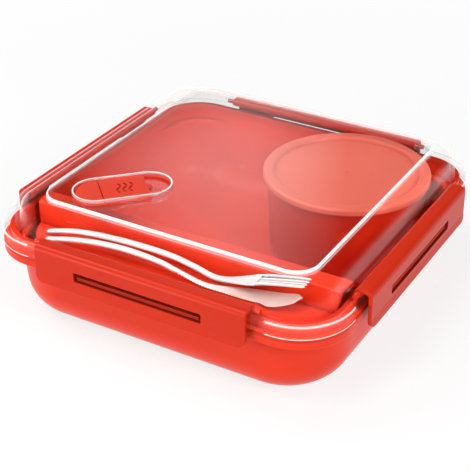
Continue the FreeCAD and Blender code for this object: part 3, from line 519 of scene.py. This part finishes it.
def soft_rubber(name, colour, finish):
    """Silicone: duller, with a fine matt grain and painted shade in its recesses."""
    shader = new_shader(name)
    place = shader.place()
    cloud = shader.noise(place, finish.cloud_size / 3)
    grain = shader.noise(place, finish.grain_size / 2, GRAIN_DETAIL)
    share = shader.openness(finish.painted_shade_reach / 4) * (1 - RUBBER_DRIFT + RUBBER_DRIFT * cloud)
    surface = shader.node("ShaderNodeBsdfPrincipled", None, {
        "Base Color": shader.tone(share, darker(colour, finish.painted_shade_tone), colour),
        "Roughness": finish.rubber_roughness + RUBBER_GLOSS * (grain - NOISE_MEAN),
        "IOR": RUBBER_INDEX,
        "Normal": shader.bump(grain, RUBBER_GRAIN_DEPTH),
    })
    return shader.finish(surface)


def painted_highlight_share(shader, beyond, painted_rim_reflection):
    """Share of painted white highlight along the lid's moulded edges, and of painted white reflection on its
    rim where it slants away.
    """
    x, y, z = shader.spot()
    crest = beyond.line(*CREST_LINE) * (z > SHELF_TOP + EDGE_CLEAR)
    foot = beyond.line(*FOOT_LINE) * (z > SHELF_TOP - EDGE_CLEAR)
    ring = vent_distance(x, y).line(*VENT_LINE) * (z > LID_TOP)
    corner = (skirt_distance(x, y) > -SKIRT_FACE) * (x.size().at_most(y.size()) > CORNER_FROM)
    skirt = (z.line(*HEM_LINE) + z.line(*SHOULDER_LINE)) * corner
    facing = shader.node("ShaderNodeLayerWeight", None, {"Blend": 0.5}, "Facing")
    slant = facing * facing
    side = beyond.ramp(*RIM_START) * (beyond < RIM_END) * z.ramp(*RIM_FADE)
    return (crest + foot + ring + skirt + painted_rim_reflection * (slant * slant * side)).clamped()


def clear_plastic(name, tint, finish):
    """Thin polished clear wall: shows what is behind it unbent, mirrors the studio and passes lamp light;
    its edges and slanting rim get painted white highlights and a painted glow.
    """
    shader = new_shader(name)
    smear = shader.noise(shader.place(), finish.cloud_size, GRAIN_DETAIL)
    x, y, z = shader.spot()
    beyond = raised_middle_distance(x, y)
    shelf = beyond.ramp(*SHELF_START) * beyond.ramp(*SHELF_END) * (z > SHELF_TOP - SHELF_DEPTH)
    clear = shader.node("ShaderNodeBsdfPrincipled", None, {
        "Base Color": (*tint, 1.0),
        "Roughness": finish.lid_roughness * (SMEAR_LEAST + SMEAR_SPAN * smear),
        "IOR": 1.0,
        "Transmission Weight": 1.0,
        "Coat Weight": 1.0 - SHELF_GLOSS_LOSS * shelf - SIDE_GLOSS_LOSS * beyond.ramp(*SIDE_START),
        "Coat Roughness": COAT_ROUGHNESS,
        "Coat IOR": COAT_INDEX,
        "Normal": shader.bump(smear, SMEAR_DEPTH),
    })
    # Painted highlight: grey white with a painted glow, mixed into the clear wall along its edges and rim
    bright = shader.node("ShaderNodeBsdfPrincipled", None, {
        "Base Color": (LINE_GREY, LINE_GREY, LINE_GREY, 1.0),
        "Roughness": LINE_ROUGHNESS + LINE_SMEAR * smear,
        "IOR": COAT_INDEX,
        "Emission Color": (1.0, 1.0, 1.0, 1.0),
        "Emission Strength": LINE_EMISSION,
    })
    body = shader.mix(finish.painted_edge_highlight * painted_highlight_share(shader, beyond, finish.painted_rim_reflection), clear, bright)
    shade = darker(tint, finish.dome_light)
    dome = shader.node("ShaderNodeBsdfTransparent", None, {"Color": (*shade, 1.0)})
    skirt = shader.node("ShaderNodeBsdfTransparent", None, {"Color": (*tint, 1.0)})
    passed = shader.mix(z < SKIRT_TOP + EDGE_CLEAR, dome, skirt)
    return shader.finish(shader.mix(shader.ray("Is Shadow Ray"), body, passed))


def studio_paper(name):
    """Sweep that the camera sees white; mirrored, it is bright low down and in a patch at the rear left."""
    shader = new_shader(name)
    x, y, z = shader.spot()
    left = (0.0 - x).angle(y)
    patch = left.ramp(*PATCH_LEFT) * left.ramp(*PATCH_RIGHT)
    patch = patch * (PATCH_FOOT_SHARE + (1 - PATCH_FOOT_SHARE) * z.ramp(*PATCH_FOOT))
    patch = patch * (1.0 - PATCH_HEAD_LOSS * z.ramp(*PATCH_HEAD))
    low = z.ramp(*WALL_GLOW) * y.ramp(*WALL_BEHIND) + z.ramp(*FLOOR_GLOW)
    bright = (patch + low).clamped()
    fibre = shader.bump(shader.noise(shader.place(), FIBRE_SIZE), FIBRE_DEPTH)
    dark, pale = (shader.node("ShaderNodeBsdfDiffuse", None, {"Color": (*tone, 1.0), "Normal": fibre})
                  for tone in ((PAPER_DARK,) * 3, (PAPER_PALE,) * 3))
    white = shader.node("ShaderNodeEmission", None, {"Color": (1.0, 1.0, 1.0, 1.0), "Strength": 1.0})
    seen = shader.ray("Is Camera Ray") + shader.ray("Is Glossy Ray", "Is Transmission Ray") * bright
    away = ((x * x + y * y).root() - FLOOR_NEAR).at_least(0.0)
    share = seen * (FLOOR_WHITE + FLOOR_WHITENING * away).clamped()
    return shader.finish(shader.mix(share, shader.mix(bright, dark, pale), white))


def dress(node, material):
    """Give a CAD node its finish."""
    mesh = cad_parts[node].data
    mesh.materials.clear()
    mesh.materials.append(material)


def soften(node, width):
    """Round a moulded node's sharp edges a little, so that they catch the light."""
    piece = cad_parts[node]
    weld = piece.modifiers.new("join_faces", "WELD")
    weld.merge_threshold = CLIP_WELD
    bevel = piece.modifiers.new("soft_edges", "BEVEL")
    bevel.width = width
    bevel.segments = CLIP_EDGE_STEPS
    bevel.limit_method = "ANGLE"
    bevel.angle_limit = CLIP_EDGE_ANGLE
    bevel.harden_normals = True


def add_mesh(name, build, material):
    """New smooth object from a bmesh recipe."""
    made = bmesh.new()
    build(made)
    mesh = bpy.data.meshes.new(name)
    made.to_mesh(mesh)
    made.free()
    for face in mesh.polygons:
        face.use_smooth = True
    mesh.materials.append(material)
    piece = bpy.data.objects.new(name, mesh)
    bpy.context.scene.collection.objects.link(piece)
    return piece


def add_piece(name, build, material, body):
    """New piece of the lunch box, riding on a body."""
    piece = add_mesh(name, build, material)
    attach(piece, body)
    return piece


def turned(profile, middle, steps=48):
    """Recipe for a closed ring or disc turned about an upright axis from (radius, height) points."""
    def build(made):
        rings = []
        for step in range(steps):
            angle = math.tau * step / steps
            across = Vector((math.cos(angle), math.sin(angle), 0.0))
            rings.append([made.verts.new(middle + across * radius + Vector((0, 0, height)))
                          for radius, height in profile])
        for first, second in zip(rings, rings[1:] + rings[:1]):
            for low in range(len(profile) - 1):
                made.faces.new((first[low], second[low], second[low + 1], first[low + 1]))
        made.normal_update()
    return build


def gate_mark(profile, middle):
    """Recipe for the small mark where the plastic entered the mould."""
    return turned([(radius * MM, height * MM) for radius, height in profile], middle)


def smooth_line(points):
    """Smooth curve through (place, height) points, as a function of the place."""
    def slope(index):
        first, last = points[max(index - 1, 0)], points[min(index + 1, len(points) - 1)]
        return (last[1] - first[1]) / (last[0] - first[0])

    def height(place):
        index = 0
        while index < len(points) - 2 and place > points[index + 1][0]:
            index += 1
        (x0, y0), (x1, y1) = points[index], points[index + 1]
        step = x1 - x0
        share = min(max((place - x0) / step, 0.0), 1.0)
        rise, fall = share * share * (3 - 2 * share), share * (1 - share)
        bend = (1 - share) * slope(index) - share * slope(index + 1)
        return y0 + (y1 - y0) * rise + step * fall * bend
    return height


def section(front, back, middle, thickness, dish=0.0, sharp=0.0, count=20):
    """Rounded cross-section from front to back; dish lifts its edges and sharp thins its front edge."""
    centre, half = (front + back) / 2, max((back - front) / 2, SECTION_LEAST_HALF)
    points = []
    for step in range(count):
        angle = math.tau * step / count
        across = math.copysign(abs(math.cos(angle)) ** SECTION_WIDTH_POWER, math.cos(angle))
        up = math.copysign(abs(math.sin(angle)) ** SECTION_DEPTH_POWER, math.sin(angle)) * thickness / 2
        share = min((across + 1) / KEEN_SHARE, 1.0)
        height = middle + up * (1 - sharp * (1 - share)) + dish * across * across
        points.append((centre + half * across, height))
    return points


def lofted(made, rings):
    """Closed skin over (place, section) rings."""
    rows = [[made.verts.new((place, across, up)) for across, up in points] for place, points in rings]
    for first, second in zip(rows, rows[1:]):
        for index in range(len(first)):
            after = (index + 1) % len(first)
            made.faces.new((first[index], first[after], second[after], second[index]))
    made.faces.new(rows[0])
    made.faces.new(reversed(rows[-1]))


def spread(first, last, count):
    """Even steps from first to last."""
    return [first + (last - first) * step / count for step in range(count + 1)]


def turn_plan(made, degrees, middle):
    """Turn the piece about an upright axis and point its faces outwards."""
    turn = Matrix.Rotation(math.radians(degrees), 3, "Z")
    bmesh.ops.rotate(made, verts=made.verts, cent=middle, matrix=turn)
    bmesh.ops.recalc_face_normals(made, faces=made.faces)


def round_end(place, start, width):
    """Share of the full width near a rounded end."""
    gone = min(abs(place - start) / width, 1.0)
    return math.sqrt(max(1 - (1 - gone) ** 2, 0.0))


def handle_places(start, end, count):
    """Steps along a handle, close together at its rounded end."""
    return spread(start, start + HANDLE_ROUND, END_STEPS) + spread(start + HANDLE_EVEN_FROM, end, count)


def build_fork(made):
    """Arched handle, dished palm and four slim tines."""
    start, neck, root, tip = (place * MM for place in (-80, 26, 49, 77))
    line, arch, rise = -73.2 * MM, 8.4 * MM, 15.5 * MM
    span, reach, low = neck - start, tip - neck, 0.32 * arch
    climb = rise - low
    side = smooth_line([
        (start, 0.0), (start + span * 0.17, arch * 0.6), (start + span * 0.34, arch * 0.88),
        (start + span * 0.55, arch), (start + span * 0.75, arch * 0.93), (start + span * 0.87, arch * 0.66),
        (neck, low), (neck + reach * 0.32, low + climb * 0.27), (neck + reach * 0.6, low + climb * 0.62),
        (tip, rise)])
    plan = smooth_line([
        (start, HANDLE_END_HALF), (start + span * 0.5, HANDLE_HALF), (neck - 8 * MM, HANDLE_END_HALF),
        (neck + 6 * MM, 2.3 * MM), (root - 5 * MM, 5.0 * MM), (root, 5.7 * MM), (root + 3 * MM, 5.6 * MM)])
    depth = smooth_line([(start, HANDLE_DEPTH), (neck, HANDLE_DEPTH), (root, 1.7 * MM), (tip, 1.4 * MM)])
    dish = smooth_line([(start, 0.0), (neck, 0.0), (root, 0.7 * MM), (tip, 0.2 * MM)])
    rings = []
    for place in handle_places(start, root + 1 * MM, FORK_STEPS):
        trim = round_end(place, start, HANDLE_ROUND)
        half = max(plan(place) * trim, HANDLE_LEAST_HALF)
        thick = depth(place) * max(trim, HANDLE_LEAST_SHARE)
        middle = TRAY_FLOOR + side(place) + depth(place) / 2
        rings.append((place, section(line - half, line + half, middle, thick, dish(place))))
    lofted(made, rings)
    for tine in TINES:
        rings = []
        for place in spread(root - 3 * MM, tip, TINE_STEPS):
            share = (place - root) / (tip - root)
            across = line + tine * (TINE_PITCH - TINE_CLOSING * share)
            half = (TINE_HALF - TINE_TAPER * share) * round_end(place, tip, TINE_ROUND)
            thick = depth(place) * max(round_end(place, tip, TINE_THINNING), TINE_LEAST_SHARE)
            lift = dish(place) * (tine / TINES[-1]) ** 2
            middle = TRAY_FLOOR + side(place) + depth(place) / 2 + lift
            rings.append((place, section(across - half, across + half, middle, thick)))
        lofted(made, rings)
    turn_plan(made, FORK_TURN, Vector((start, line, 0.0)))


def build_knife(made):
    """Arched handle and a flat blade with a serrated front edge and a round belly."""
    start, heel, swell, full, tip = (place * MM for place in (-76, 7, 22, 48, 74))
    line, arch, rise, width = -80.2 * MM, 8.0 * MM, 6.0 * MM, 11.0 * MM
    pitch, teeth, tooth = 1.7 * MM, 27, 0.7 * MM
    last, edge = heel + teeth * pitch, line - 1.2 * MM
    span, reach, back = heel - start, tip - heel, edge + width
    point = back - width * 0.35
    side = smooth_line([
        (start, 0.0), (start + span * 0.23, arch * 0.58), (start + span * 0.46, arch * 0.92),
        (start + span * 0.68, arch), (start + span * 0.88, arch * 0.84), (heel, arch * 0.52),
        (heel + reach * 0.2, arch * 0.12), (heel + reach * 0.38, arch * 0.06),
        (heel + reach * 0.6, arch * 0.07), (heel + reach * 0.8, rise * 0.35), (tip, rise)])
    front_line = smooth_line([
        (start, line - HANDLE_END_HALF), (start + span * 0.5, line - HANDLE_HALF),
        (heel - 3 * MM, line - HANDLE_HALF), (heel, edge), (last, edge),
        (last + (tip - last) * 0.35, edge - 2.4 * MM), (tip - width * 0.25, edge + width * 0.12),
        (tip, point)])
    back_line = smooth_line([
        (start, line + HANDLE_END_HALF), (start + span * 0.5, line + HANDLE_HALF),
        (swell, line + HANDLE_HALF), (full, back), (tip - width * 0.4, back), (tip, point)])
    depth = smooth_line([(start, HANDLE_DEPTH), (heel, 2.1 * MM), (heel + reach * 0.3, 1.5 * MM),
                         (tip, 1.3 * MM)])
    keen = smooth_line([(start, 0.0), (heel - 4 * MM, 0.0), (heel + 8 * MM, 0.75), (tip, 0.75)])
    places = handle_places(start, heel - pitch / 2, KNIFE_STEPS) + spread(heel, last, teeth * 2)
    places += spread(last + pitch / 2, tip - 4 * MM, BELLY_STEPS) + spread(tip - 3.5 * MM, tip, TIP_STEPS)
    rings = []
    for place in places:
        front, behind = front_line(place), back_line(place)
        if heel <= place <= last and round((place - heel) / pitch * 2) % 2:
            front -= tooth
        trim = round_end(place, start, HANDLE_ROUND)
        centre = (front + behind) / 2
        thick = depth(place) * max(trim, HANDLE_LEAST_SHARE)
        middle = TRAY_FLOOR + side(place) + depth(place) / 2
        rings.append((place, section(centre + (front - centre) * trim, centre + (behind - centre) * trim,
                                     middle, thick, sharp=keen(place))))
    lofted(made, rings)
    turn_plan(made, KNIFE_TURN, Vector((start, line, 0.0)))


class LUNCHBOX_OT_tub(Operator):
    """Finish the tub, the cutlery tray and the seal"""

    bl_idname = "lunchbox.tub"
    bl_label = "Tub"

    def execute(self, context):
        colours, finish = context.scene.lunch_colours, context.scene.lunch_finish
        red = moulded_plastic("tub_red_plastic", colours.tub_red, finish.red_roughness, finish,
                              index=RED_INDEX, parting_shadow=True)
        for node in ("tub", "cutlery_tray"):
            dress(node, red)
        dress("seal_ring", soft_rubber("seal_silicone", colours.vent_red, finish))
        return {"FINISHED"}


class LUNCHBOX_OT_lid(Operator):
    """Finish the clear lid and add its gate mark"""

    bl_idname = "lunchbox.lid"
    bl_label = "Lid"

    def execute(self, context):
        colours, finish = context.scene.lunch_colours, context.scene.lunch_finish
        clear = clear_plastic("clear_lid_plastic", colours.lid_tint, finish)
        dress("lid", clear)
        mark = gate_mark(LID_MARK, Vector((0.0, 0.0, LID_TOP)))
        add_piece("lid_gate_mark", mark, clear, "cover")
        return {"FINISHED"}


class LUNCHBOX_OT_clips(Operator):
    """Finish the four snap clips and round their edges"""

    bl_idname = "lunchbox.clips"
    bl_label = "Clips"

    def execute(self, context):
        colours, finish = context.scene.lunch_colours, context.scene.lunch_finish
        red = moulded_plastic("clip_red_plastic", colours.clip_red, finish.red_roughness, finish,
                              index=RED_INDEX)
        for side in ("front", "right", "back", "left"):
            dress("clip_" + side, red)
            soften("clip_" + side, finish.edge_round)
        return {"FINISHED"}


class LUNCHBOX_OT_vent(Operator):
    """Finish the steam vent"""

    bl_idname = "lunchbox.vent"
    bl_label = "Steam vent"

    def execute(self, context):
        colours, finish = context.scene.lunch_colours, context.scene.lunch_finish
        rubber = soft_rubber("vent_silicone", colours.vent_red, finish)
        for node in ("vent_anchor", "vent_flap"):
            dress(node, rubber)
        return {"FINISHED"}


class LUNCHBOX_OT_pot(Operator):
    """Finish the pot and its lid, and add the lid's gate mark"""

    bl_idname = "lunchbox.pot"
    bl_label = "Pot"

    def execute(self, context):
        colours, finish = context.scene.lunch_colours, context.scene.lunch_finish
        dress("sauce_pot", moulded_plastic("pot_red_plastic", colours.pot_red, finish.red_roughness, finish))
        satin = moulded_plastic("pot_lid_plastic", colours.pot_lid_red, finish.pot_lid_roughness, finish)
        dress("pot_lid", satin)
        low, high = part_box("pot_lid")
        middle = (low + high) / 2
        middle.z = high.z - POT_LID_PANEL_DROP
        mark = gate_mark(POT_LID_MARK, middle)
        add_piece("pot_lid_gate_mark", mark, satin, "pot_cover")
        return {"FINISHED"}


class LUNCHBOX_OT_cutlery(Operator):
    """Model the fork and the knife"""

    bl_idname = "lunchbox.cutlery"
    bl_label = "Cutlery"

    def execute(self, context):
        colours, finish = context.scene.lunch_colours, context.scene.lunch_finish
        white = moulded_plastic("cutlery_white_plastic", colours.cutlery_white, finish.fork_roughness,
                                finish, drift=FORK_DRIFT)
        thin = thin_plastic("knife_white_plastic", colours.cutlery_white, colours.blade_red_light, finish)
        for node, build, plastic in (("fork", build_fork, white), ("knife", build_knife, thin)):
            piece = add_piece("moulded_" + node, build, plastic, "base")
            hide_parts(node)
        return {"FINISHED"}


class LUNCHBOX_OT_stage(Operator):
    """Set up the white sweep, the lamps and the camera"""

    bl_idname = "lunchbox.stage"
    bl_label = "Studio"

    def execute(self, context):
        stage = context.scene.lunch_stage
        self.add_cove(stage)
        self.add_sky(context.scene, stage)
        for name, (place, width, setting) in LAMPS.items():
            self.add_lamp(context.scene, name, Vector(place), width, getattr(stage, setting))
        self.add_camera(context.scene, stage)
        context.scene.view_settings.view_transform = "Standard"
        return {"FINISHED"}

    def add_cove(self, stage):
        """Floor that curves up into a round wall."""
        bend = stage.cove_height / 2
        turns = [math.radians(degrees) for degrees in spread(0, 90, COVE_BEND_STEPS)]
        curve = [(stage.cove_radius - bend + bend * math.sin(turn), bend - bend * math.cos(turn))
                 for turn in turns]
        profile = [(1 * MM, 0.0)] + curve + [(stage.cove_radius, stage.cove_height)]
        sweep = turned(profile, Vector((0, 0, CAD_BOX[0].z)), COVE_ROUND_STEPS)
        cove = add_mesh("studio_cove", sweep, studio_paper("studio_paper"))

    def add_sky(self, scene, stage):
        """Even white light from all round."""
        scene.world = bpy.data.worlds.new("studio_sky")
        shader = Shader(scene.world)
        sky = shader.node("ShaderNodeBackground", None,
                          {"Color": (1.0, 1.0, 1.0, 1.0), "Strength": stage.sky_light})
        shader.finish(sky, "ShaderNodeOutputWorld")

    def add_lamp(self, scene, name, place, width, power):
        """Square soft box that faces the lunch box."""
        lamp = bpy.data.lights.new(name, "AREA")
        lamp.shape = "SQUARE"
        lamp.size = width
        lamp.energy = power
        holder = bpy.data.objects.new(name, lamp)
        holder.location = place
        holder.rotation_euler = (-place).to_track_quat("-Z", "Y").to_euler()
        scene.collection.objects.link(holder)

    def add_camera(self, scene, stage):
        """Camera at the photograph's viewing angle."""
        view = bpy.data.cameras.new("photo_camera")
        view.lens = stage.lens
        view.sensor_width = SENSOR_WIDTH
        view.clip_start = 10 * MM
        holder = bpy.data.objects.new("photo_camera", view)
        place, target = Vector(stage.camera_place), Vector(stage.camera_target)
        holder.location = place
        holder.rotation_euler = (target - place).to_track_quat("-Z", "Y").to_euler()
        scene.collection.objects.link(holder)
        scene.camera = holder


PIECES = (LUNCHBOX_OT_tub, LUNCHBOX_OT_lid, LUNCHBOX_OT_clips, LUNCHBOX_OT_vent, LUNCHBOX_OT_pot,
          LUNCHBOX_OT_cutlery, LUNCHBOX_OT_stage)
GROUPS = {"lunch_colours": LunchBoxColours, "lunch_finish": LunchBoxFinish, "lunch_stage": LunchBoxStage}


class LUNCHBOX_PT_panel(Panel):
    """Pieces of the lunch box"""

    bl_label = "Lunch Box"
    bl_idname = "LUNCHBOX_PT_panel"
    bl_space_type = "VIEW_3D"
    bl_region_type = "UI"
    bl_category = "Lunch Box"

    def draw(self, context):
        for name, group in GROUPS.items():
            values = getattr(context.scene, name)
            for entry in group.__annotations__:
                self.layout.prop(values, entry)
        for piece in PIECES:
            self.layout.operator(piece.bl_idname)


CLASSES = (*GROUPS.values(), *PIECES, LUNCHBOX_PT_panel)


def register():
    for item in CLASSES:
        bpy.utils.register_class(item)
    for name, group in GROUPS.items():
        setattr(bpy.types.Scene, name, PointerProperty(type=group))


def unregister():
    for name in GROUPS:
        delattr(bpy.types.Scene, name)
    for item in reversed(CLASSES):
        bpy.utils.unregister_class(item)


def main():
    register()
    for piece in PIECES:
        family, action = piece.bl_idname.split(".")
        getattr(getattr(bpy.ops, family), action)()


if __name__ == "__main__":
    main()
